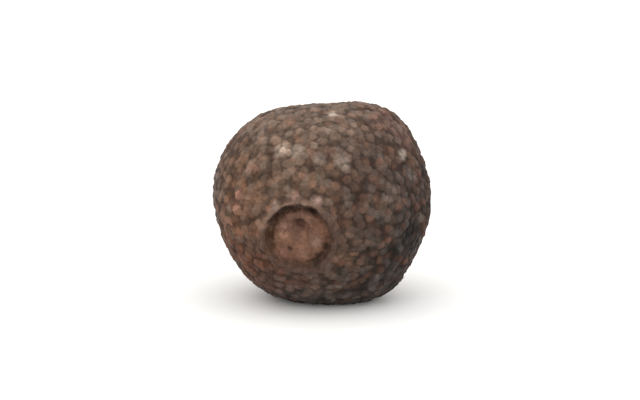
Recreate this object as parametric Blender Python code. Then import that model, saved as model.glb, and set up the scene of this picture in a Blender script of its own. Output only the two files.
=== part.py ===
"""A dried allspice berry at its real size: one closed solid with pebbled skin.

The berry lies on its side. Its own axis runs from the stem scar at the back to the calyx crown, the ring
of withered sepals round the stub of the style, which faces forward and a little to the left and down.
Front is -Y, right is +X and up is +Z. The origin is on the surface that the berry rests on, below the
middle of its bounding box. Drying has left the skin covered in low pebbles, one over each oil gland, and
has pulled the berry out of round in a few broad swells and hollows.
"""

import math
import random

import bmesh
import bpy
import numpy as np
from mathutils import Vector, noise

MM = 0.001

# The ball of the berry, before drying.
EQUATOR_RADIUS = 3.35 * MM
POLE_RADIUS = 3.27 * MM

# Directions are (azimuth, elevation) in degrees: azimuth from the front round to the right.
CROWN_DIRECTION = (-10.3, -8.3)
STEM_DIRECTION = (167.5, 7.0)

# Broad swells (+) and hollows (-) left by drying: direction, reach and height.
SWELLS = (
    ("right shoulder", (102, 44), 2.6 * MM, 0.43 * MM),
    ("flat top", (-168, 74), 2.2 * MM, -0.24 * MM),
    ("left shoulder", (-97, 32), 2.6 * MM, 0.05 * MM),
    ("left cheek", (-86, -22), 2.4 * MM, -0.12 * MM),
    ("underside", (-30, -77), 2.2 * MM, -0.07 * MM),
    ("right heel", (75, -45), 2.6 * MM, 0.30 * MM),
    ("right cheek", (90, 0), 2.2 * MM, 0.26 * MM),
    ("hollow beside the crown", (22, -12), 1.5 * MM, -0.08 * MM),
    ("brow above the crown", (-6, 34), 1.7 * MM, 0.07 * MM),
    ("hollow in the back", (150, -24), 1.8 * MM, -0.12 * MM),
)

# The pebbles over the oil glands.
GLAND_COUNT = 1080
GLAND_HEIGHT = 0.048 * MM
GLAND_UNEVENNESS = 0.35
GLAND_SCATTER = 0.22
VALLEY_DEPTH = 0.028 * MM
CHORD_LENGTH = 0.99995  # on a ball of radius 1, the middle of an edge lies deeper than this
SEED = 7

# A sunk seat in the skin takes each end piece.
CROWN_SEAT_RADIUS = 1.32 * MM
CROWN_SEAT_DEPTH = 0.30 * MM
STEM_SEAT_RADIUS = 0.56 * MM
STEM_SEAT_DEPTH = 0.22 * MM
SEAT_EDGE_SHARE = 0.25
PEBBLE_FADE = 0.35 * MM

# The crown as turned: (radius, height above the ball's pole), from the style's tip out over its pit, the
# disc and the groove, and over the rim.
CROWN_PROFILE = (
    (0.050 * MM, -0.130 * MM),
    (0.090 * MM, -0.150 * MM),
    (0.110 * MM, -0.215 * MM),
    (0.165 * MM, -0.225 * MM),
    (0.215 * MM, -0.120 * MM),
    (0.285 * MM, -0.045 * MM),
    (0.500 * MM, -0.030 * MM),
    (0.740 * MM, -0.065 * MM),
    (0.840 * MM, -0.125 * MM),
    (0.900 * MM, -0.225 * MM),
    (0.965 * MM, -0.205 * MM),
    (1.015 * MM, -0.065 * MM),
    (1.065 * MM, 0.050 * MM),
    (1.125 * MM, 0.080 * MM),
    (1.195 * MM, 0.040 * MM),
    (1.265 * MM, -0.100 * MM),
    (1.350 * MM, -0.240 * MM),
    (1.470 * MM, -0.410 * MM),
)
CROWN_ROOT = -0.62 * MM
CROWN_SIDES = 52
GROOVE = 9  # the station of CROWN_PROFILE at the bottom of the groove
GROOVE_REACH = 2  # how many stations to either side of the groove its deepening fades over
RIM_CREST = 13  # the station of CROWN_PROFILE on top of the rim
RIM_REACH = 3  # how many stations to either side of the crest the sepals' shape fades over
SEPALS = 4
SEPAL_TURN = math.radians(22)
SEPAL_NOTCH = 0.10 * MM
SEPAL_NOTCH_SHARPNESS = 6
SEPAL_BULGE = 0.05
RIM_WEAR = 0.035 * MM
RIM_WEAR_WAVES = 3.0

# The crown has dried askew: on its high side the rim stands up and the disc inside it is sunk, and on the
# other the rim is worn down and the disc stands proud. Turns run from the right over the top.
HIGH_SIDE_TURN = math.radians(120)
RIM_FALL = 0.13 * MM
DISC_RADIUS = 0.85 * MM
DISC_TILT = 0.07 * MM
GROOVE_DEEPENING = 0.14 * MM
PIT_SHIFT = Vector((0.17 * MM, 0.33 * MM, 0.0))

# The stem scar as turned: a low lip round a pit with the stump of the stalk's fibres in it.
STEM_PROFILE = (
    (0.060 * MM, -0.045 * MM),
    (0.120 * MM, -0.075 * MM),
    (0.170 * MM, -0.150 * MM),
    (0.250 * MM, -0.110 * MM),
    (0.320 * MM, 0.010 * MM),
    (0.400 * MM, 0.035 * MM),
    (0.480 * MM, -0.020 * MM),
    (0.600 * MM, -0.120 * MM),
)
STEM_ROOT = -0.45 * MM
STEM_SIDES = 28

# The flat spot that the berry rests on.
REST_DIRECTION = (172.0, -86.5)
REST_CUT = 0.21 * MM
REST_SMOOTH_RADIUS = 1.25 * MM

WELD = 0.002 * MM
SHARP_ANGLE = math.radians(60)
SKIN_COLOUR = (0.118, 0.068, 0.048, 1.0)
SKIN_ROUGHNESS = 0.72


def clear_scene():
    for scene_object in list(bpy.data.objects):
        bpy.data.objects.remove(scene_object)


def direction(azimuth, elevation):
    """The unit vector at an azimuth, from the front round to the right, and an elevation, in degrees."""
    turn = math.radians(azimuth)
    rise = math.radians(elevation)
    return Vector((math.sin(turn) * math.cos(rise), -math.cos(turn) * math.cos(rise), math.sin(rise)))


CROWN_AXIS = direction(*CROWN_DIRECTION)
STEM_AXIS = direction(*STEM_DIRECTION)
REST_AXIS = direction(*REST_DIRECTION)


def smooth(share):
    """A soft step from 0 to 1."""
    share = min(max(share, 0.0), 1.0)
    return share * share * (3.0 - 2.0 * share)


def ball_radius(heading):
    """The ball's radius along a unit vector: a spheroid, shorter along the crown's axis."""
    along = heading.dot(CROWN_AXIS)
    across = math.sqrt(max(0.0, 1.0 - along * along))
    return 1.0 / math.hypot(along / POLE_RADIUS, across / EQUATOR_RADIUS)


def reach_from(axis, heading):
    """How far a point of the ball lies from an axis, measured square to it. Points behind count as far."""
    along = heading.dot(axis)
    if along < 0.0:
        return EQUATOR_RADIUS
    return EQUATOR_RADIUS * math.sqrt(max(0.0, 1.0 - along * along))


def seat_depth(heading):
    """How deep the skin is sunk under the crown or the stem scar."""
    inside_crown = 1.0 - reach_from(CROWN_AXIS, heading) / CROWN_SEAT_RADIUS
    inside_stem = 1.0 - reach_from(STEM_AXIS, heading) / STEM_SEAT_RADIUS
    crown = smooth(inside_crown / SEAT_EDGE_SHARE)
    stem = smooth(inside_stem / SEAT_EDGE_SHARE)
    return CROWN_SEAT_DEPTH * crown + STEM_SEAT_DEPTH * stem


def pebble_share(heading):
    """1 on the open skin, falling to 0 at the crown, the stem scar and the rest spot."""
    clear_of_crown = smooth((reach_from(CROWN_AXIS, heading) - CROWN_SEAT_RADIUS) / PEBBLE_FADE)
    clear_of_stem = smooth((reach_from(STEM_AXIS, heading) - STEM_SEAT_RADIUS) / PEBBLE_FADE)
    clear_of_rest = smooth((reach_from(REST_AXIS, heading) - REST_SMOOTH_RADIUS) / PEBBLE_FADE)
    return clear_of_crown * clear_of_stem * clear_of_rest


def gland_headings():
    """Directions spread evenly over the ball along a golden-angle spiral, each scattered a little."""
    draw = random.Random(SEED)
    golden_angle = math.pi * (3.0 - math.sqrt(5.0))
    spacing = math.sqrt(4.0 * math.pi / GLAND_COUNT)
    for index in range(GLAND_COUNT):
        height = 1.0 - (2.0 * index + 1.0) / GLAND_COUNT
        ring = math.sqrt(1.0 - height * height)
        turn = golden_angle * index
        scatter = Vector([draw.uniform(-1.0, 1.0) for _ in range(3)]) * (GLAND_SCATTER * spacing)
        yield (Vector((ring * math.cos(turn), ring * math.sin(turn), height)) + scatter).normalized()


def pebbled_skin():
    """The ball's skin: each gland is the top of a pebble, and the middles of the edges between them are
    the valleys."""
    draw = random.Random(SEED + 1)
    skin = bmesh.new()
    for heading in gland_headings():
        skin.verts.new(heading)
    bmesh.ops.convex_hull(skin, input=skin.verts, use_existing_faces=False)
    bmesh.ops.subdivide_edges(skin, edges=skin.edges, cuts=1, use_grid_fill=True)
    for vertex in skin.verts:
        heading = vertex.co.normalized()
        if vertex.co.length > CHORD_LENGTH:
            relief = GLAND_HEIGHT * (1.0 + GLAND_UNEVENNESS * draw.uniform(-1.0, 1.0)) - VALLEY_DEPTH
        else:
            relief = -VALLEY_DEPTH
        radius = ball_radius(heading) + relief * pebble_share(heading) - seat_depth(heading)
        vertex.co = heading * radius
    bmesh.ops.recalc_face_normals(skin, faces=skin.faces)
    return finished_object("skin", skin)


def sepal_share(turn):
    """0 in the middle of a sepal and 1 in the notch between two."""
    return abs(math.sin(0.5 * SEPALS * (turn - SEPAL_TURN))) ** SEPAL_NOTCH_SHARPNESS


def crown_point(station, turn):
    """A point of the crown: the turned profile, its rim notched between the sepals and worn unevenly, its
    disc tilted and its pit off the middle."""
    radius, height = CROWN_PROFILE[station]
    high_share = 0.5 + 0.5 * math.cos(turn - HIGH_SIDE_TURN)
    rim_share = max(0.0, 1.0 - abs(station - RIM_CREST) / RIM_REACH)
    groove_share = max(0.0, 1.0 - abs(station - GROOVE) / GROOVE_REACH)
    around = Vector((math.cos(turn), math.sin(turn), 0.0))
    wear = RIM_WEAR * noise.noise(around * RIM_WEAR_WAVES)
    height += (wear - SEPAL_NOTCH * sepal_share(turn) - RIM_FALL * (1.0 - high_share)) * rim_share
    height -= GROOVE_DEEPENING * high_share * groove_share
    if station < GROOVE:
        height -= DISC_TILT * (2.0 * high_share - 1.0) * radius / DISC_RADIUS
    radius *= 1.0 + SEPAL_BULGE * (0.5 - sepal_share(turn)) * rim_share
    shift = PIT_SHIFT * smooth(1.0 - radius / DISC_RADIUS)
    return around * radius + shift + Vector((0.0, 0.0, height))


def stem_point(station, turn):
    radius, height = STEM_PROFILE[station]
    return Vector((radius * math.cos(turn), radius * math.sin(turn), height))


def turned_piece(name, point, stations, sides, root, axis):
    """A closed solid lofted round an axis from its top, over its profile, down to a flat root inside the
    berry. Heights are measured from the ball's pole on that axis."""
    piece = bmesh.new()
    rings = []
    for station in range(stations):
        turns = (2.0 * math.pi * side / sides for side in range(sides))
        rings.append([piece.verts.new(point(station, turn)) for turn in turns])
    rings.append([piece.verts.new((v.co.x, v.co.y, root)) for v in rings[-1]])
    for upper, lower in zip(rings, rings[1:]):
        for side in range(sides):
            after = (side + 1) % sides
            piece.faces.new((upper[side], lower[side], lower[after], upper[after]))
    piece.faces.new(rings[0])
    piece.faces.new(reversed(rings[-1]))
    turned = Vector((0.0, 0.0, 1.0)).rotation_difference(axis).to_matrix()
    for vertex in piece.verts:
        vertex.co = turned @ vertex.co + axis * ball_radius(axis)
    bmesh.ops.recalc_face_normals(piece, faces=piece.faces)
    return finished_object(name, piece)


def finished_object(name, shape):
    mesh = bpy.data.meshes.new(name)
    shape.to_mesh(mesh)
    shape.free()
    made = bpy.data.objects.new(name, mesh)
    bpy.context.collection.objects.link(made)
    return made


def joined(body, pieces):
    """The Boolean union of the body and the pieces, as a bmesh. All their objects are removed."""
    group = bpy.data.collections.new("end pieces")
    bpy.context.scene.collection.children.link(group)
    for piece in pieces:
        group.objects.link(piece)
        bpy.context.collection.objects.unlink(piece)
    union = body.modifiers.new("union", "BOOLEAN")
    union.operation = "UNION"
    union.operand_type = "COLLECTION"
    union.collection = group
    union.solver = "EXACT"
    graph = bpy.context.evaluated_depsgraph_get()
    fused = bmesh.new()
    fused.from_mesh(body.evaluated_get(graph).to_mesh())
    for scene_object in (body, *pieces):
        bpy.data.objects.remove(scene_object)
    bpy.data.collections.remove(group)
    return fused


def dry_out_of_round(berry):
    """Moves every point by the broad swells and hollows that reach it."""
    centres = [(direction(*heading), reach, height) for _, heading, reach, height in SWELLS]
    for vertex in berry.verts:
        start = vertex.co.copy()
        for axis, reach, height in centres:
            distance = (start - axis * EQUATOR_RADIUS).length
            vertex.co += axis * (height * smooth(1.0 - distance / reach))


def cut_rest_spot(berry):
    """Cuts the lowest skin off flat, so that the berry stands still."""
    cut_height = min(vertex.co.z for vertex in berry.verts) + REST_CUT
    cut = bmesh.ops.bisect_plane(
        berry,
        geom=berry.verts[:] + berry.edges[:] + berry.faces[:],
        dist=WELD,
        plane_co=(0.0, 0.0, cut_height),
        plane_no=(0.0, 0.0, -1.0),
        clear_outer=True,
    )
    rim = [part for part in cut["geom_cut"] if isinstance(part, bmesh.types.BMEdge)]
    for edge in rim:
        for vertex in edge.verts:
            vertex.co.z = cut_height
    bmesh.ops.triangle_fill(berry, edges=rim, use_beauty=True, normal=(0.0, 0.0, -1.0))


def stand_at_origin(berry):
    """Brings the middle of the bounding box over the origin and the rest spot down to it."""
    places = np.array([vertex.co for vertex in berry.verts])
    low, high = places.min(axis=0), places.max(axis=0)
    offset = Vector((-(low[0] + high[0]) / 2.0, -(low[1] + high[1]) / 2.0, -low[2]))
    bmesh.ops.translate(berry, verts=berry.verts, vec=offset)


def skin_material():
    material = bpy.data.materials.new("dried pericarp")
    material.use_nodes = True
    shader = material.node_tree.nodes["Principled BSDF"]
    shader.inputs["Base Color"].default_value = SKIN_COLOUR
    shader.inputs["Roughness"].default_value = SKIN_ROUGHNESS
    shader.inputs["Metallic"].default_value = 0.0
    return material


def build_berry():
    crown = turned_piece("crown", crown_point, len(CROWN_PROFILE), CROWN_SIDES, CROWN_ROOT, CROWN_AXIS)
    stem = turned_piece("stem", stem_point, len(STEM_PROFILE), STEM_SIDES, STEM_ROOT, STEM_AXIS)
    berry = joined(pebbled_skin(), (crown, stem))
    bmesh.ops.remove_doubles(berry, verts=berry.verts, dist=WELD)
    dry_out_of_round(berry)
    cut_rest_spot(berry)
    stand_at_origin(berry)
    bmesh.ops.triangulate(berry, faces=berry.faces)
    bmesh.ops.recalc_face_normals(berry, faces=berry.faces)
    made = finished_object("berry", berry)
    made.data.materials.append(skin_material())
    made.data.shade_smooth()
    made.data.set_sharp_from_angle(angle=SHARP_ANGLE)
    return made


clear_scene()
build_berry()
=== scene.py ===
"""The looks of a dried allspice berry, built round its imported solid.

The berry is modelled at a workshop scale, where one unit is one millimetre, with the middle of the ball at
the origin. Its last steps bring it into the solid's box, in metres.
"""
import math
import random

import bmesh
import bpy
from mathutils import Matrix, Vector


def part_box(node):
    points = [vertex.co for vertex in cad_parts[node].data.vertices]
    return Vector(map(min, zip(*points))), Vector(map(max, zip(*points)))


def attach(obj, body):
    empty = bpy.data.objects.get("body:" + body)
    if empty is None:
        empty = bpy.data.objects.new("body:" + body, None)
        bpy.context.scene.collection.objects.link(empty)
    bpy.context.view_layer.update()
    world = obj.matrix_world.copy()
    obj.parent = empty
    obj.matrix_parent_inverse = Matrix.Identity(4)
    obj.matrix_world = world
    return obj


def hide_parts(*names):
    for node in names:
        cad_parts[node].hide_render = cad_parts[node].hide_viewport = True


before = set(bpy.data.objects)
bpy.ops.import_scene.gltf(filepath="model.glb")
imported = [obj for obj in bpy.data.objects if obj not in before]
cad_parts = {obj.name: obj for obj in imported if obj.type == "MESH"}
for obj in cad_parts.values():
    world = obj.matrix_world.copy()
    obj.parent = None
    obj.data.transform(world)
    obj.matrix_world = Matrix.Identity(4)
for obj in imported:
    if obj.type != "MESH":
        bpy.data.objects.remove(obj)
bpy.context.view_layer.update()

METRES_PER_MM = 0.001
MM_PER_METRE = 1000.0
NOISE_MIDDLE = (0.5, 0.5, 0.5)

# ---------------------------------------------------------------- sizes, in millimetres

EQUATOR_RADIUS = 3.35
POLE_RADIUS = 3.27
BALL_SEGMENTS = 64
BALL_RINGS = 36

# Directions are (azimuth, elevation) in degrees: azimuth from the front round to the right.
CROWN_DIRECTION = (-10.3, -8.3)
STEM_DIRECTION = (169.7, 8.3)  # opposite the crown, so that it is on a pole of the ball

# Broad swells (+) and hollows (-) left by drying: direction, reach and height.
SWELLS = (
    ("right shoulder", (102, 44), 2.6, 0.43),
    ("flat top", (-168, 74), 2.2, -0.24),
    ("left shoulder", (-97, 32), 2.6, 0.05),
    ("left cheek", (-86, -22), 2.4, -0.12),
    ("underside", (-30, -77), 2.2, -0.07),
    ("right heel", (75, -45), 2.6, 0.30),
    ("right cheek", (90, 0), 2.2, 0.26),
    ("hollow beside the crown", (22, -12), 1.5, -0.08),
    ("brow above the crown", (-6, 34), 1.7, 0.07),
    ("hollow in the back", (150, -24), 1.8, -0.12),
)

# The calyx crown, from the skin inwards over its rim, down its groove and over its disc to the style:
# (radius, height above the ball's pole).
CROWN_CAP_RADIUS = 1.56
CROWN_PROFILE = (
    (1.430, -0.345),
    (1.350, -0.265),
    (1.265, -0.110),
    (1.195, 0.030),
    (1.125, 0.075),
    (1.065, 0.050),
    (1.015, -0.075),
    (0.960, -0.205),
    (0.895, -0.220),
    (0.835, -0.115),
    (0.740, -0.060),
    (0.500, -0.030),
    (0.290, -0.055),
    (0.225, -0.190),
    (0.160, -0.260),
    (0.100, -0.210),
    (0.045, -0.200),
)
RIM_RADIUS = 1.12
RIM_HEIGHT = 0.08
SEPALS = 4
SEPAL_TURN = math.radians(22)
SEPAL_DRIFT = 0.1  # as a share of a sepal's width
SEPAL_NOTCH = 0.10
SEPAL_NOTCH_SPREAD = (0.7, 1.2)
SEPAL_NOTCH_REACH = 0.30
RIM_WEAR_MARKS = 22
RIM_WEAR = 0.06
RIM_WEAR_REACH = 0.26
DISC_WEAR_MARKS = 16
DISC_WEAR = 0.06
DISC_WEAR_REACH = 0.22
DISC_WEAR_RING = (0.30, 0.85)
DISC_HEIGHT = -0.05

# The stem scar, from the skin inwards over a low lip into a pit with the stump of the stalk's fibres.
STEM_CAP_RADIUS = 0.60
STEM_PROFILE = (
    (0.500, -0.025),
    (0.420, 0.045),
    (0.340, 0.030),
    (0.270, -0.110),
    (0.190, -0.180),
    (0.130, -0.100),
    (0.060, -0.055),
)

# The pebbles over the oil glands. The spacing is the least between two glands, the density is glands to a
# square millimetre, and the least pebble's height is a share of the full height.
GLAND_SPACING = 0.13
GLAND_DENSITY = 24.0
GLAND_RADIUS = 0.185
GLAND_HEIGHT = 0.062
GLAND_LEAST = 0.35
GLAND_RAGGEDNESS = 0.16
GLAND_RAG_SIZE = 0.15

# The skin between and under the pebbles: how far apart its folds are, and how high.
WRINKLE_SIZE = 0.55
WRINKLE_HEIGHT = 0.075
BUCKLE_SIZE = 1.7
BUCKLE_HEIGHT = 0.10
END_GRAIN_SIZE = 0.13
END_GRAIN_HEIGHT = 0.085

# Both ends are clear of pebbles, and ribs run out over the crown. The ribs' spread is how far apart they are
# on a circle of radius 1. They rise from nothing to full height between two distances from the crown's axis.
CROWN_CLEAR_RADIUS = 1.13
STEM_CLEAR_RADIUS = 0.42
PEBBLE_FADE = 0.20
CROWN_RIB_SPREAD = 0.14
CROWN_RIB_HEIGHT = 0.12
CROWN_RIB_RISE = (0.15, 0.7)

# The skin's mesh: its first grain, how it is smoothed before the pebbles rise, and its triangles in the end.
VOXEL = 0.031
SMOOTHING = 0.5
SMOOTHING_ROUNDS = 3
TRIANGLES = 190000

# How much is cut off below for the flat spot that the berry rests on.
REST_CUT = 0.21

SEED = 11


def direction(azimuth, elevation):
    """The unit vector at an azimuth, from the front round to the right, and an elevation, in degrees."""
    turn = math.radians(azimuth)
    rise = math.radians(elevation)
    return Vector((math.sin(turn) * math.cos(rise), -math.cos(turn) * math.cos(rise), math.sin(rise)))


CROWN_AXIS = direction(*CROWN_DIRECTION)
STEM_AXIS = -CROWN_AXIS


def linear(hex_colour):
    """An sRGB hex colour as linear red, green, blue and alpha."""
    values = [int(hex_colour[start:start + 2], 16) / 255.0 for start in (1, 3, 5)]
    return (*[v / 12.92 if v <= 0.04045 else ((v + 0.055) / 1.055) ** 2.4 for v in values], 1.0)


def add(tree, kind, settings=None, inputs=None):
    """Adds a node, makes its settings and fills its inputs, each with a value or a link."""
    node = tree.nodes.new(kind)
    for name, value in (settings or {}).items():
        setattr(node, name, value)
    for socket, value in (inputs or {}).items():
        if isinstance(value, bpy.types.NodeSocket):
            tree.links.new(value, node.inputs[socket])
        else:
            node.inputs[socket].default_value = value
    return node


# ---------------------------------------------------------------- working on a piece

def take_up(piece):
    """Makes a piece the only one selected, and the active one."""
    bpy.ops.object.select_all(action="DESELECT")
    piece.select_set(True)
    bpy.context.view_layer.objects.active = piece


def select_faces(piece, wanted):
    """In edit mode, selects the faces that pass a test and no others."""
    shape = bmesh.from_edit_mesh(piece.data)
    for face in shape.faces:
        face.select_set(wanted(face))
    bmesh.update_edit_mesh(piece.data)


def select_nearest_vertex(piece, place):
    """In edit mode, selects the one vertex nearest a place."""
    shape = bmesh.from_edit_mesh(piece.data)
    bpy.ops.mesh.select_all(action="DESELECT")
    nearest = min(shape.verts, key=lambda vertex: (vertex.co - place).length_squared)
    nearest.select_set(True)
    bmesh.update_edit_mesh(piece.data)


def push(piece, place, move, reach):
    """In edit mode, moves the skin at a place, and softly what lies within reach of it."""
    select_nearest_vertex(piece, place)
    bpy.ops.transform.translate(
        value=move,
        use_proportional_edit=True,
        proportional_edit_falloff="SMOOTH",
        proportional_size=reach,
    )


def apply_modifier(piece, kind, **settings):
    """Adds a modifier with its settings and applies it."""
    modifier = piece.modifiers.new(kind.lower(), kind)
    for name, value in settings.items():
        setattr(modifier, name, value)
    bpy.ops.object.modifier_apply(modifier=modifier.name)


# ---------------------------------------------------------------- the berry

def ball():
    """The ball of the berry before drying, its poles on the axis from the stem scar to the crown."""
    turned = Vector((0.0, 0.0, 1.0)).rotation_difference(CROWN_AXIS).to_euler()
    bpy.ops.object.select_all(action="DESELECT")
    bpy.ops.mesh.primitive_uv_sphere_add(
        segments=BALL_SEGMENTS,
        ring_count=BALL_RINGS,
        radius=EQUATOR_RADIUS,
        rotation=turned,
        scale=(1.0, 1.0, POLE_RADIUS / EQUATOR_RADIUS),
    )
    piece = bpy.context.object
    piece.name = "dried_berry"
    bpy.ops.object.transform_apply(location=True, rotation=True, scale=True)
    return piece


def turn_end(piece, axis, cap_radius, profile):
    """Opens the skin round an axis and shapes what was inside it, ring by ring, along a profile."""
    bpy.ops.object.mode_set(mode="EDIT")
    bpy.ops.mesh.select_mode(type="FACE")

    def inside_cap(face):
        middle = face.calc_center_median()
        along = middle.dot(axis)
        return along > 0.0 and (middle - axis * along).length < cap_radius

    select_faces(piece, inside_cap)
    bpy.ops.mesh.dissolve_faces()
    shape = bmesh.from_edit_mesh(piece.data)
    cap = max((face for face in shape.faces if face.select), key=lambda face: len(face.verts))
    first = cap.verts[0].co
    height = first.dot(axis) - POLE_RADIUS
    radius = (first - axis * first.dot(axis)).length
    for next_radius, next_height in profile:
        bpy.ops.mesh.inset(thickness=radius - next_radius, depth=next_height - height)
        radius = next_radius
        height = next_height
    bpy.ops.object.mode_set(mode="OBJECT")


CROWN_SIDE = CROWN_AXIS.cross(Vector((0.0, 0.0, 1.0))).normalized() * -1.0
CROWN_UP = CROWN_AXIS.cross(CROWN_SIDE).normalized()


def around_crown(turn, radius, height):
    """A place by its turn round the crown's axis, its radius from it and its height above the pole."""
    outwards = CROWN_SIDE * math.cos(turn) + CROWN_UP * math.sin(turn)
    return outwards * radius + CROWN_AXIS * (POLE_RADIUS + height)


def wear_crown(piece):
    """Notches the rim between the four sepals, and wears and bends it unevenly all round."""
    draw = random.Random(SEED)
    for sepal in range(SEPALS):
        drift = draw.uniform(-SEPAL_DRIFT, SEPAL_DRIFT)
        turn = SEPAL_TURN + 2.0 * math.pi * (sepal + 0.5 + drift) / SEPALS
        depth = SEPAL_NOTCH * draw.uniform(*SEPAL_NOTCH_SPREAD)
        push(piece, around_crown(turn, RIM_RADIUS, RIM_HEIGHT), CROWN_AXIS * -depth, SEPAL_NOTCH_REACH)
    for _ in range(RIM_WEAR_MARKS):
        turn = draw.uniform(0.0, 2.0 * math.pi)
        place = around_crown(turn, RIM_RADIUS, RIM_HEIGHT)
        outwards = CROWN_SIDE * math.cos(turn) + CROWN_UP * math.sin(turn)
        move = CROWN_AXIS * draw.uniform(-RIM_WEAR, RIM_WEAR) + outwards * draw.uniform(-RIM_WEAR, RIM_WEAR)
        push(piece, place, move, RIM_WEAR_REACH)
    for _ in range(DISC_WEAR_MARKS):
        turn = draw.uniform(0.0, 2.0 * math.pi)
        place = around_crown(turn, draw.uniform(*DISC_WEAR_RING), DISC_HEIGHT)
        push(piece, place, CROWN_AXIS * draw.uniform(-DISC_WEAR, DISC_WEAR), DISC_WEAR_REACH)


# Where the crown has dried unevenly: (name, turn in degrees from the right, radius, height), the move along
# the crown's side, up and outward directions, and its reach.
CROWN_DENTS = (
    ("pit above the middle", (0, 0.0, -0.17), (0.02, 0.42, -0.03), 0.90),
    ("disc sunk at the upper left", (130, 0.62, -0.05), (0.0, 0.0, -0.10), 0.65),
    ("groove deep on the left", (165, 0.93, -0.21), (0.0, 0.0, -0.10), 0.30),
    ("groove deep at the upper left", (135, 0.93, -0.21), (0.0, 0.0, -0.16), 0.36),
    ("groove deep at the top", (100, 0.93, -0.21), (0.0, 0.0, -0.16), 0.36),
    ("groove deep at the upper right", (65, 0.93, -0.21), (0.0, 0.0, -0.14), 0.32),
    ("groove filled on the right", (18, 0.93, -0.21), (0.0, 0.0, 0.15), 0.36),
    ("groove filled at the lower left", (-130, 0.93, -0.21), (0.0, 0.0, 0.13), 0.40),
    ("rim turned in at the upper left", (140, 1.12, 0.08), (0.05, -0.05, 0.0), 0.50),
    ("rim turned in at the top", (90, 1.12, 0.08), (0.0, -0.06, 0.01), 0.45),
    ("disc proud at the lower right", (-40, 0.70, -0.06), (0.02, -0.02, 0.11), 0.50),
    ("rim worn off at the lower right", (-45, 1.12, 0.08), (0.0, 0.0, -0.18), 0.60),
    ("rim worn off at the bottom", (-95, 1.12, 0.08), (0.0, 0.0, -0.12), 0.55),
    ("rim worn off on the right", (5, 1.12, 0.08), (0.0, 0.0, -0.10), 0.45),
    ("ridge on the left of the disc", (160, 0.57, -0.05), (0.0, 0.0, 0.15), 0.20),
)


def dry_crown(piece):
    """Makes the crown's dents, one after the other."""
    for _, (turn, radius, height), (aside, up, out), reach in CROWN_DENTS:
        move = CROWN_SIDE * aside + CROWN_UP * up + CROWN_AXIS * out
        push(piece, around_crown(math.radians(turn), radius, height), move, reach)


def dry_out_of_round(piece):
    """Makes the broad swells and hollows, one after the other."""
    for _, heading, reach, height in SWELLS:
        axis = direction(*heading)
        push(piece, axis * EQUATOR_RADIUS, axis * height, reach)


def distance_from_axis(tree, place, axis):
    """How far a place is from a half line that leaves the origin, in millimetres. Behind it counts as far."""
    along = add(tree, "ShaderNodeVectorMath", {"operation": "DOT_PRODUCT"}, {0: place, 1: axis})
    on_axis = add(tree, "ShaderNodeVectorMath", {"operation": "SCALE"}, {
        0: axis,
        "Scale": along.outputs["Value"],
    })
    away = add(tree, "ShaderNodeVectorMath", {"operation": "DISTANCE"}, {0: place, 1: on_axis.outputs[0]})
    behind = add(tree, "ShaderNodeMath", {"operation": "LESS_THAN"}, {0: along.outputs["Value"], 1: 0.0})
    return add(tree, "ShaderNodeMath", {"operation": "MULTIPLY_ADD"}, {
        0: behind.outputs[0],
        1: EQUATOR_RADIUS,
        2: away.outputs["Value"],
    }).outputs[0]


def uneven(tree, place, size, height, detail=2.0):
    """A height that wanders evenly about nothing, over a distance and by an amount in millimetres."""
    noise = add(tree, "ShaderNodeTexNoise", None, {"Vector": place, "Scale": 1.0 / size, "Detail": detail})
    return add(tree, "ShaderNodeMath", {"operation": "MULTIPLY_ADD"}, {
        0: noise.outputs["Fac"],
        1: height,
        2: -0.5 * height,
    }).outputs[0]


def drifted(tree, place, size, amount, detail=3.0):
    """A place that wanders, over a distance and by up to half an amount in millimetres each way."""
    noise = add(tree, "ShaderNodeTexNoise", None, {"Vector": place, "Scale": 1.0 / size, "Detail": detail})
    centred = add(tree, "ShaderNodeVectorMath", {"operation": "SUBTRACT"}, {
        0: noise.outputs["Color"],
        1: NOISE_MIDDLE,
    })
    return add(tree, "ShaderNodeVectorMath", {"operation": "MULTIPLY_ADD"}, {
        0: centred.outputs[0],
        1: (amount, amount, amount),
        2: place,
    }).outputs[0]


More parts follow.
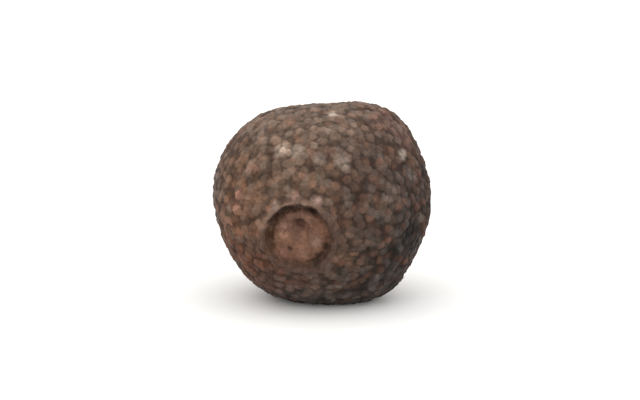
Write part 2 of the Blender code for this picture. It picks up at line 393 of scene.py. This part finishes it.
def pebbled_skin():
    """Geometry nodes that raise a pebble over each oil gland, buckle and wrinkle the skin between, and keep
    what the finish needs as attributes: the pebbles' relief, two random tones for each gland, the share
    of open skin, and the distance from the crown's axis."""
    tree = bpy.data.node_groups.new("pebbled skin", "GeometryNodeTree")
    tree.interface.new_socket("Geometry", in_out="INPUT", socket_type="NodeSocketGeometry")
    tree.interface.new_socket("Geometry", in_out="OUTPUT", socket_type="NodeSocketGeometry")
    skin = add(tree, "NodeGroupInput").outputs[0]
    place = add(tree, "GeometryNodeInputPosition").outputs[0]

    # No pebbles inside the crown's ring or on the stem scar.
    crown_distance = distance_from_axis(tree, place, CROWN_AXIS)
    stem_distance = distance_from_axis(tree, place, STEM_AXIS)
    clear_of_ends = []
    for away, clear_radius in ((crown_distance, CROWN_CLEAR_RADIUS), (stem_distance, STEM_CLEAR_RADIUS)):
        clear_of_ends.append(add(tree, "ShaderNodeMapRange", {"interpolation_type": "SMOOTHSTEP"}, {
            "Value": away,
            "From Min": clear_radius,
            "From Max": clear_radius + PEBBLE_FADE,
        }).outputs[0])
    open_skin = add(tree, "ShaderNodeMath", {"operation": "MULTIPLY"}, {
        0: clear_of_ends[0],
        1: clear_of_ends[1],
    }).outputs[0]

    # The glands are scattered evenly over the skin, and each raises a dome that meets its neighbours'.
    glands = add(tree, "GeometryNodeDistributePointsOnFaces", {"distribute_method": "POISSON"}, {
        "Mesh": skin,
        "Distance Min": GLAND_SPACING,
        "Density Max": GLAND_DENSITY,
        "Seed": SEED,
    }).outputs["Points"]
    ragged = drifted(tree, place, GLAND_RAG_SIZE, GLAND_RAGGEDNESS, detail=1.0)
    nearest = add(tree, "GeometryNodeSampleNearest", None, {0: glands, "Sample Position": ragged}).outputs[0]
    gland_place = add(tree, "GeometryNodeSampleIndex", {"data_type": "FLOAT_VECTOR"}, {
        "Geometry": glands,
        "Value": place,
        "Index": nearest,
    }).outputs[0]
    away = add(tree, "ShaderNodeVectorMath", {"operation": "DISTANCE"}, {0: ragged, 1: gland_place})
    tones = []
    for seed in (SEED + 1, SEED + 2, SEED + 3):
        draw = add(tree, "FunctionNodeRandomValue", {"data_type": "FLOAT"}, {"Seed": seed})
        tones.append(add(tree, "GeometryNodeSampleIndex", {"data_type": "FLOAT"}, {
            "Geometry": glands,
            "Value": draw.outputs[1],
            "Index": nearest,
        }).outputs[0])
    share = add(tree, "ShaderNodeMath", {"operation": "DIVIDE", "use_clamp": True}, {
        0: away.outputs["Value"],
        1: GLAND_RADIUS,
    })
    squared = add(tree, "ShaderNodeMath", {"operation": "POWER"}, {0: share.outputs[0], 1: 2.0})
    dome = add(tree, "ShaderNodeMath", {"operation": "SUBTRACT"}, {0: 1.0, 1: squared.outputs[0]})
    growth = add(tree, "ShaderNodeMapRange", None, {"Value": tones[2], "To Min": GLAND_LEAST, "To Max": 1.0})
    relief = add(tree, "ShaderNodeMath", {"operation": "MULTIPLY"}, {
        0: dome.outputs[0],
        1: growth.outputs[0],
    }).outputs[0]

    # The heights add up, the pebbles and the wrinkles on open skin only.
    pebbles = add(tree, "ShaderNodeMath", {"operation": "MULTIPLY_ADD"}, {
        0: relief,
        1: GLAND_HEIGHT,
        2: -0.5 * GLAND_HEIGHT,
    }).outputs[0]
    wrinkles = uneven(tree, place, WRINKLE_SIZE, WRINKLE_HEIGHT)
    on_skin = add(tree, "ShaderNodeMath", {"operation": "ADD"}, {0: pebbles, 1: wrinkles})
    on_open_skin = add(tree, "ShaderNodeMath", {"operation": "MULTIPLY"}, {
        0: on_skin.outputs[0],
        1: open_skin,
    })
    buckled = add(tree, "ShaderNodeMath", {"operation": "ADD"}, {
        0: on_open_skin.outputs[0],
        1: uneven(tree, place, BUCKLE_SIZE, BUCKLE_HEIGHT, detail=1.0),
    })
    grained = add(tree, "ShaderNodeMath", {"operation": "ADD"}, {
        0: buckled.outputs[0],
        1: uneven(tree, place, END_GRAIN_SIZE, END_GRAIN_HEIGHT),
    })

    # The withered sepals and the disc have ribs that run out from the crown's middle.
    from_axis = add(tree, "ShaderNodeVectorMath", {"operation": "CROSS_PRODUCT"}, {0: place, 1: CROWN_AXIS})
    bearing = add(tree, "ShaderNodeVectorMath", {"operation": "NORMALIZE"}, {0: from_axis.outputs[0]})
    ribs = uneven(tree, bearing.outputs[0], CROWN_RIB_SPREAD, CROWN_RIB_HEIGHT)
    on_crown = add(tree, "ShaderNodeMath", {"operation": "SUBTRACT"}, {0: 1.0, 1: clear_of_ends[0]})
    off_middle = add(tree, "ShaderNodeMapRange", {"interpolation_type": "SMOOTHSTEP"}, {
        "Value": crown_distance,
        "From Min": CROWN_RIB_RISE[0],
        "From Max": CROWN_RIB_RISE[1],
    })
    rib_share = add(tree, "ShaderNodeMath", {"operation": "MULTIPLY"}, {
        0: on_crown.outputs[0],
        1: off_middle.outputs[0],
    })
    height = add(tree, "ShaderNodeMath", {"operation": "MULTIPLY_ADD"}, {
        0: ribs,
        1: rib_share.outputs[0],
        2: grained.outputs[0],
    })
    normal = add(tree, "GeometryNodeInputNormal").outputs[0]
    offset = add(tree, "ShaderNodeVectorMath", {"operation": "SCALE"}, {
        0: normal,
        "Scale": height.outputs[0],
    })

    kept = {
        "relief": relief,
        "gland_tone": tones[0],
        "gland_hue": tones[1],
        "open_skin": open_skin,
        "crown_distance": crown_distance,
    }
    for name, value in kept.items():
        skin = add(tree, "GeometryNodeStoreNamedAttribute", {"data_type": "FLOAT", "domain": "POINT"}, {
            "Geometry": skin,
            "Name": name,
            "Value": value,
        }).outputs[0]
    moved = add(tree, "GeometryNodeSetPosition", None, {"Geometry": skin, "Offset": offset.outputs[0]})
    add(tree, "NodeGroupOutput", None, {0: moved.outputs[0]})
    return tree


def cut_rest_spot(piece):
    """Cuts the lowest skin off flat."""
    lowest = min(vertex.co.z for vertex in piece.data.vertices)
    bpy.ops.object.mode_set(mode="EDIT")
    bpy.ops.mesh.select_all(action="SELECT")
    bpy.ops.mesh.bisect(
        plane_co=(0.0, 0.0, lowest + REST_CUT),
        plane_no=(0.0, 0.0, 1.0),
        use_fill=True,
        clear_inner=True,
    )
    bpy.ops.object.mode_set(mode="OBJECT")


def bring_into_box(piece, low, high):
    """Stretches and moves the finished piece to fill the box from low to high. Returns where the middle of
    the ball comes to lie."""
    corners = [Vector(corner) for corner in piece.bound_box]
    lowest = Vector([min(corner[axis] for corner in corners) for axis in range(3)])
    highest = Vector([max(corner[axis] for corner in corners) for axis in range(3)])
    size = highest - lowest
    piece.scale = [(high[axis] - low[axis]) / size[axis] for axis in range(3)]
    piece.location = [low[axis] - lowest[axis] * piece.scale[axis] for axis in range(3)]
    middle = piece.location.copy()
    bpy.ops.object.transform_apply(location=True, rotation=True, scale=True)
    return middle


def build_berry():
    """The dried berry as one closed skin, and where the middle of its ball lies."""
    piece = ball()
    turn_end(piece, CROWN_AXIS, CROWN_CAP_RADIUS, CROWN_PROFILE)
    turn_end(piece, STEM_AXIS, STEM_CAP_RADIUS, STEM_PROFILE)
    take_up(piece)
    apply_modifier(piece, "SUBSURF", levels=2, render_levels=2)
    bpy.ops.object.mode_set(mode="EDIT")
    bpy.ops.mesh.select_mode(type="VERT")
    wear_crown(piece)
    dry_crown(piece)
    dry_out_of_round(piece)
    bpy.ops.object.mode_set(mode="OBJECT")
    apply_modifier(piece, "REMESH", mode="VOXEL", voxel_size=VOXEL)
    apply_modifier(piece, "SMOOTH", factor=SMOOTHING, iterations=SMOOTHING_ROUNDS)
    skin = piece.modifiers.new("pebbled skin", "NODES")
    skin.node_group = pebbled_skin()
    bpy.ops.object.modifier_apply(modifier=skin.name)
    cut_rest_spot(piece)
    apply_modifier(piece, "DECIMATE", ratio=TRIANGLES / (2 * len(piece.data.polygons)))
    middle = bring_into_box(piece, *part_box("berry"))
    bpy.ops.object.shade_smooth()
    return piece, middle


# ---------------------------------------------------------------- finishes

SKIN_COLOUR = "#574133"
SKIN_IOR = 1.45
SKIN_SPECULAR_LEVEL = 0.2
CREASE_ROUGHNESS = 0.85
PEBBLE_TOP_ROUGHNESS = 0.55

# Broad patches of the skin: direction, reach in millimetres, colour and share. Some are painted light and
# shade: lighter on top, at the upper left and on the left, whose warm tint is the skin's own; darker on the
# right, at its edge, at the lower right and underneath.
PATCHES = (
    # Painted light on the top and upper left, and a warm left lightened by painted light:
    ("painted light on top", (-10, 78), 3.4, "#69574b", 0.9),
    ("painted light at the upper left", (-32, 36), 2.4, "#655143", 0.8),
    ("warm left, lighter as painted light", (-58, 2), 2.6, "#614736", 0.9),
    ("grey left edge", (-95, 5), 2.2, "#443c38", 0.7),
    ("red-brown lower left", (-45, -38), 2.2, "#533324", 0.9),
    # Painted shade on the right, at the right edge, at the lower right and underneath:
    ("painted shade on the right", (42, 10), 2.6, "#483a32", 0.9),
    ("painted shade at the right edge", (80, 10), 2.0, "#2f1e17", 0.8),
    ("painted shade at the lower right", (60, -35), 2.6, "#1c1816", 0.9),
    ("painted shade on the underside", (5, -75), 2.8, "#48413d", 0.9),
    ("red upper right edge", (80, 48), 1.3, "#523c35", 0.7),
)
PATCH_DRIFT_SIZE = 0.9
PATCH_DRIFT = 1.6

# Small marks on the skin and on the stem scar: direction, reach in millimetres, colour and share. The pale
# patches on the upper left and top are painted highlights, and the two black flecks low on the right are
# painted shade.
SKIN_MARKS = (
    # Painted highlights on the upper left and top:
    ("painted highlight, left end", (-27, 40), 0.36, "#8f7d6e", 0.9),
    ("painted highlight, right end", (-15, 40), 0.36, "#8f7d6e", 0.9),
    ("painted highlight in the middle", (1, 36), 0.30, "#7a6a60", 0.8),
    ("painted highlight right of the middle", (16, 34), 0.36, "#7d6e64", 0.8),
    # Paler at the right:
    ("paler patch at the right", (68, 19), 0.30, "#766860", 0.8),
    ("salmon streak, upper end", (-50, 12), 0.25, "#7f5b4c", 0.9),
    ("salmon streak, lower end", (-51, 5), 0.25, "#7f5b4c", 0.9),
    ("pale fleck on top", (21, 68), 0.27, "#978779", 0.9),
    ("pale fleck at the right", (66, 31), 0.27, "#7f7369", 0.9),
    # Painted shade low on the right:
    ("painted shade low on the right", (66, -19), 0.50, "#1a1615", 0.9),
    ("painted shade on the right, above it", (62, -9), 0.50, "#1d1817", 0.8),
    ("stem scar's lip", STEM_DIRECTION, 0.68, "#715c4d", 0.9),
    ("stem scar's pit", STEM_DIRECTION, 0.42, "#2c1f19", 1.0),
    ("stalk's fibres", STEM_DIRECTION, 0.16, "#6f5a49", 0.9),
)
MARK_DRIFT_SIZE = 0.20
MARK_DRIFT = 0.20
MARK_CORE = 0.3  # the share of a mark's or patch's reach over which it is at full strength

# Some glands are redder and some greyer: colour, greatest share, and the gland's draw where it starts and
# where it is greatest.
GLAND_HUES = (
    ("redder", "#6b4330", 0.30, 0.55, 1.0),
    ("greyer", "#5d5550", 0.30, 0.45, 0.0),
)

# Shades, as factors on the colour: each gland's own at random, and from a crease up to a pebble's top, which
# is pale from this share of its relief up. The dark creases are painted shade; the pale tops are worn and
# carry painted light as well.
GLAND_SHADES = (0.66, 1.36)
CREASE_SHADES = (0.52, 1.08)
PALE_RELIEF = 0.55

# Grain and mottle of the skin: size in millimetres, darkest and lightest shade, detail and roughness. Both
# vary between these two heights of the noise.
GRAINS = (
    ("grain", 0.11, (0.76, 1.24), 3.0, 0.65),
    ("mottle", 0.34, (0.74, 1.26), 2.0, 0.6),
)
GRAIN_NOISE_SPAN = (0.3, 0.7)

# The finest grain, in millimetres, too fine to model.
FINE_SIZE = 0.06
FINE_HEIGHT = 0.012
FINE_STRENGTH = 0.7

# The crown's colours by distance from its axis in millimetres, on its high side and on its worn side. On the
# high side the dark groove is painted shade and the pale rim beyond it painted light.
CROWN_HIGH_TONES = (
    (0.00, "#684a3c"),
    (0.80, "#6a4d3f"),
    # Painted shade in the groove under the high rim:
    (0.90, "#3a281e"),
    (1.08, "#33231a"),
    # Painted light on the high rim:
    (1.16, "#6f584b"),
    (1.28, "#6d584b"),
    (1.42, "#574234"),
)
CROWN_WORN_TONES = (
    (0.00, "#684a3c"),
    (0.45, "#6b4c3c"),
    (0.86, "#664839"),
    (1.00, "#4d382d"),
    (1.12, "#4e3b32"),
    (1.28, "#4a3831"),
    (1.42, "#4a3831"),
)
CROWN_REACH = 1.55
CROWN_WANDER_SIZE = 0.30
CROWN_WANDER = 0.26
HIGH_SIDE_TURN = math.radians(107)
# How far the high side's tones run to either side, as cosines: none at the first, full at the second.
HIGH_SIDE_SPREAD = (0.46, 0.68)

# Marks on and round the crown: (turn in degrees from the right, radius), reach, colour and share. The pit and
# the groove down the left are darkened with painted shade, and the gap outside the disc's lower right edge
# carries a painted shadow. The pale streak, the tan right of the disc and the pale rim are painted light.
CROWN_MARKS = (
    # Painted shade in the pit:
    ("pit", (88, 0.43), 0.27, "#3f281f", 0.95),
    # Painted highlight on the disc, and painted light right of it:
    ("painted highlight on the disc, upper end", (148, 0.63), 0.17, "#856555", 0.9),
    ("painted highlight on the disc, lower end", (173, 0.54), 0.17, "#826251", 0.9),
    ("painted light right of the disc", (-14, 0.56), 0.30, "#70574a", 0.8),
    ("red spot below the middle", (-130, 0.48), 0.13, "#442a20", 0.9),
    # Painted shade in the groove, down the left and at the lower left:
    ("painted shade down the groove's left side", (178, 0.99), 0.24, "#463022", 0.8),
    ("painted shade at the groove's lower left", (-156, 1.06), 0.24, "#4a3225", 0.8),
    ("salmon patch at the lower left", (-133, 0.79), 0.22, "#684b3e", 0.8),
    ("salmon patch at the bottom", (-82, 0.58), 0.22, "#664c3f", 0.8),
    # Painted shadow outside the disc's lower right edge:
    ("painted shadow right of the disc", (-22, 0.92), 0.22, "#36261c", 0.9),
    ("painted shadow at the disc's lower right", (-45, 0.92), 0.24, "#38291f", 0.9),
    ("painted shadow below the disc", (-60, 1.02), 0.22, "#362820", 0.8),
    # Painted light on the rim:
    ("painted light on the rim, left", (161, 1.39), 0.40, "#745a4b", 0.8),
    ("painted light on the rim, upper left", (127, 1.30), 0.24, "#7d685d", 0.9),
    ("painted light on the rim, top", (96, 1.33), 0.32, "#765c52", 0.8),
    ("painted light on the rim, upper right", (67, 1.44), 0.24, "#7a6358", 0.9),
    ("red spot at the lower left", (-154, 1.39), 0.24, "#432b21", 0.9),
)


def marked(tree, under, place, heading, reach, colour, strength):
    """A colour laid over another round a direction from the middle of the ball, fading out to its reach."""
    share = add(tree, "ShaderNodeMapRange", {"interpolation_type": "SMOOTHSTEP"}, {
        "Value": distance_from_axis(tree, place, heading),
        "From Min": MARK_CORE * reach,
        "From Max": reach,
        "To Min": strength,
        "To Max": 0.0,
    })
    return add(tree, "ShaderNodeMix", {"data_type": "RGBA"}, {
        0: share.outputs[0],
        6: under,
        7: linear(colour),
    }).outputs[2]


def ringed(tree, radius, tones):
    """Colours by distance from the crown's axis."""
    inwards = add(tree, "ShaderNodeMath", {"operation": "DIVIDE"}, {0: radius, 1: CROWN_REACH})
    rings = add(tree, "ShaderNodeValToRGB", None, {0: inwards.outputs[0]})
    ramp = rings.color_ramp.elements
    while len(ramp) < len(tones):
        ramp.new(0.5)
    for stop, (tone_radius, colour) in zip(ramp, tones):
        stop.position = tone_radius / CROWN_REACH
        stop.color = linear(colour)
    return rings.outputs[0]


def dried_pericarp(middle):
    """Dried fruit skin, the woody brown rind of an allspice berry: matt, red-brown where it is thin and
    greyer in places. Its pebble tops are pale from wear and from painted light, and its creases are darkened
    with painted shade. Painted light lies on its top and upper left, and painted shade on its right, lower
    right and underside."""
    material = bpy.data.materials.new("dried pericarp")
    material.use_nodes = True
    tree = material.node_tree
    shader = tree.nodes["Principled BSDF"]
    shader.inputs["IOR"].default_value = SKIN_IOR
    shader.inputs["Specular IOR Level"].default_value = SKIN_SPECULAR_LEVEL

    # Places in millimetres from the middle of the ball.
    place = add(tree, "ShaderNodeMapping", {"vector_type": "POINT"}, {
        "Vector": add(tree, "ShaderNodeTexCoord").outputs["Object"],
        "Location": middle * -MM_PER_METRE,
        "Scale": (MM_PER_METRE, MM_PER_METRE, MM_PER_METRE),
    }).outputs[0]
    kept = {
        name: add(tree, "ShaderNodeAttribute", {"attribute_name": name}).outputs["Fac"]
        for name in ("relief", "gland_tone", "gland_hue", "open_skin", "crown_distance")
    }

    # Broad patches with drifting borders.
    skin = add(tree, "ShaderNodeRGB").outputs[0]
    skin.default_value = linear(SKIN_COLOUR)
    patch_place = drifted(tree, place, PATCH_DRIFT_SIZE, PATCH_DRIFT)
    for _, heading, reach, colour, strength in PATCHES:
        skin = marked(tree, skin, patch_place, direction(*heading), reach, colour, strength)

    for _, tint, strength, start, full in GLAND_HUES:
        share = add(tree, "ShaderNodeMapRange", {"interpolation_type": "SMOOTHSTEP"}, {
            "Value": kept["gland_hue"],
            "From Min": start,
            "From Max": full,
            "To Max": strength,
        })
        skin = add(tree, "ShaderNodeMix", {"data_type": "RGBA"}, {
            0: share.outputs[0],
            6: skin,
            7: linear(tint),
        }).outputs[2]

    # The crown's colours, in rings that wander, with painted shade in the groove under its high side and
    # painted light on the rim above the groove.
    wandering = add(tree, "ShaderNodeMath", {"operation": "ADD"}, {
        0: kept["crown_distance"],
        1: uneven(tree, place, CROWN_WANDER_SIZE, CROWN_WANDER),
    }).outputs[0]
    mark_place = drifted(tree, place, MARK_DRIFT_SIZE, MARK_DRIFT)
    high_side = CROWN_SIDE * math.cos(HIGH_SIDE_TURN) + CROWN_UP * math.sin(HIGH_SIDE_TURN)
    from_axis = add(tree, "ShaderNodeVectorMath", {"operation": "DOT_PRODUCT"}, {
        0: mark_place,
        1: high_side,
    }).outputs["Value"]
    cosine = add(tree, "ShaderNodeMath", {"operation": "DIVIDE"}, {0: from_axis, 1: kept["crown_distance"]})
    high_share = add(tree, "ShaderNodeMapRange", {"interpolation_type": "SMOOTHSTEP"}, {
        "Value": cosine.outputs[0],
        "From Min": HIGH_SIDE_SPREAD[0],
        "From Max": HIGH_SIDE_SPREAD[1],
    }).outputs[0]
    crown = add(tree, "ShaderNodeMix", {"data_type": "RGBA"}, {
        0: high_share,
        6: ringed(tree, wandering, CROWN_WORN_TONES),
        7: ringed(tree, wandering, CROWN_HIGH_TONES),
    }).outputs[2]
    colour = add(tree, "ShaderNodeMix", {"data_type": "RGBA"}, {
        0: kept["open_skin"],
        6: crown,
        7: skin,
    }).outputs[2]

    # Small marks over all.
    for _, heading, reach, tint, strength in SKIN_MARKS:
        colour = marked(tree, colour, mark_place, direction(*heading), reach, tint, strength)
    for _, (turn, radius), reach, tint, strength in CROWN_MARKS:
        heading = around_crown(math.radians(turn), radius, 0.0).normalized()
        colour = marked(tree, colour, mark_place, heading, reach, tint, strength)

    # Each gland has its own tone at random; creases are darkened with painted shade, and pebble tops are pale
    # from wear and from painted light.
    shade = add(tree, "ShaderNodeMapRange", None, {
        "Value": kept["gland_tone"],
        "To Min": GLAND_SHADES[0],
        "To Max": GLAND_SHADES[1],
    }).outputs[0]
    crease = add(tree, "ShaderNodeMapRange", {"interpolation_type": "SMOOTHSTEP"}, {
        "Value": kept["relief"],
        "From Min": 0.0,
        "From Max": PALE_RELIEF,
        "To Min": CREASE_SHADES[0],
        "To Max": CREASE_SHADES[1],
    }).outputs[0]
    pebbled = add(tree, "ShaderNodeMath", {"operation": "MULTIPLY"}, {0: shade, 1: crease}).outputs[0]
    toned = add(tree, "ShaderNodeMix", {"data_type": "FLOAT"}, {
        0: kept["open_skin"],
        2: 1.0,
        3: pebbled,
    }).outputs[0]
    for _, size, (darkest, lightest), detail, roughness in GRAINS:
        grain = add(tree, "ShaderNodeTexNoise", None, {
            "Vector": place,
            "Scale": 1.0 / size,
            "Detail": detail,
            "Roughness": roughness,
        })
        grained = add(tree, "ShaderNodeMapRange", None, {
            "Value": grain.outputs["Fac"],
            "From Min": GRAIN_NOISE_SPAN[0],
            "From Max": GRAIN_NOISE_SPAN[1],
            "To Min": darkest,
            "To Max": lightest,
        }).outputs[0]
        toned = add(tree, "ShaderNodeMath", {"operation": "MULTIPLY"}, {0: toned, 1: grained}).outputs[0]
    colour = add(tree, "ShaderNodeVectorMath", {"operation": "SCALE"}, {0: colour, "Scale": toned}).outputs[0]
    tree.links.new(colour, shader.inputs["Base Color"])

    # Pebble tops are rubbed a little smoother than the creases.
    rough = add(tree, "ShaderNodeMapRange", None, {
        "Value": kept["relief"],
        "To Min": CREASE_ROUGHNESS,
        "To Max": PEBBLE_TOP_ROUGHNESS,
    })
    tree.links.new(rough.outputs[0], shader.inputs["Roughness"])
    fine = add(tree, "ShaderNodeTexNoise", None, {
        "Vector": place,
        "Scale": 1.0 / FINE_SIZE,
        "Detail": 3.0,
        "Roughness": 0.6,
    })
    bump = add(tree, "ShaderNodeBump", None, {
        "Strength": FINE_STRENGTH,
        "Distance": FINE_HEIGHT * METRES_PER_MM,
        "Height": fine.outputs["Fac"],
    })
    tree.links.new(bump.outputs[0], shader.inputs["Normal"])
    return material


def matt_card():
    """White paper card, uncoated, so its light is soft and even."""
    material = bpy.data.materials.new("matt white card")
    material.use_nodes = True
    shader = material.node_tree.nodes["Principled BSDF"]
    shader.inputs["Base Color"].default_value = linear(CARD_COLOUR)
    shader.inputs["Roughness"].default_value = CARD_ROUGHNESS
    return material


# ---------------------------------------------------------------- stage

# Lengths in metres, angles in degrees, power in watts.
FLOOR_RADIUS = 0.25
FLOOR_SIDES = 96
CARD_COLOUR = "#ebeae8"
CARD_ROUGHNESS = 0.9
SURROUND_STRENGTH = 1.4
KEY_AZIMUTH = -30
KEY_ELEVATION = 62
KEY_DISTANCE = 0.28
KEY_SIZE = 0.40
KEY_POWER = 0.20
LENS = 200.0  # millimetres
CAMERA_DISTANCE = 0.1131
CAMERA_ELEVATION = 12.0
CAMERA_ASIDE = -0.00006
NEAREST_SEEN = 0.001
FARTHEST_SEEN = 2.0


def card_floor():
    """A round white card that the berry lies on."""
    bpy.ops.object.select_all(action="DESELECT")
    bpy.ops.mesh.primitive_circle_add(vertices=FLOOR_SIDES, radius=FLOOR_RADIUS, fill_type="NGON")
    floor = bpy.context.object
    floor.name = "floor"
    floor.data.materials.append(matt_card())


def middle_of_berry():
    """The middle of the solid's box."""
    low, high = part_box("berry")
    return (low + high) / 2.0


def key_light():
    """A large square soft box, above and to the left, that faces the berry."""
    heading = direction(KEY_AZIMUTH, KEY_ELEVATION)
    bpy.ops.object.light_add(type="AREA", location=middle_of_berry() + heading * KEY_DISTANCE)
    light = bpy.context.object
    light.name = "key"
    light.rotation_euler = heading.to_track_quat("Z", "Y").to_euler()
    light.data.shape = "SQUARE"
    light.data.size = KEY_SIZE
    light.data.energy = KEY_POWER


def camera():
    """A long lens a little above the berry, level with it from side to side."""
    heading = direction(0.0, CAMERA_ELEVATION)
    aside = Vector((CAMERA_ASIDE, 0.0, 0.0))
    bpy.ops.object.camera_add(location=middle_of_berry() + heading * CAMERA_DISTANCE + aside)
    seen_from = bpy.context.object
    seen_from.rotation_euler = heading.to_track_quat("Z", "Y").to_euler()
    seen_from.data.lens = LENS
    seen_from.data.clip_start = NEAREST_SEEN
    seen_from.data.clip_end = FARTHEST_SEEN
    bpy.context.scene.camera = seen_from


def studio():
    """A white surround and one soft key light."""
    world = bpy.data.worlds.new("studio")
    world.use_nodes = True
    world.node_tree.nodes["Background"].inputs["Color"].default_value = linear("#ffffff")
    world.node_tree.nodes["Background"].inputs["Strength"].default_value = SURROUND_STRENGTH
    bpy.context.scene.world = world
    key_light()
    bpy.context.scene.view_settings.view_transform = "Standard"


berry, ball_middle = build_berry()
berry.data.materials.clear()
berry.data.materials.append(dried_pericarp(ball_middle))
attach(berry, "root")
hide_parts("berry")
card_floor()
studio()
camera()
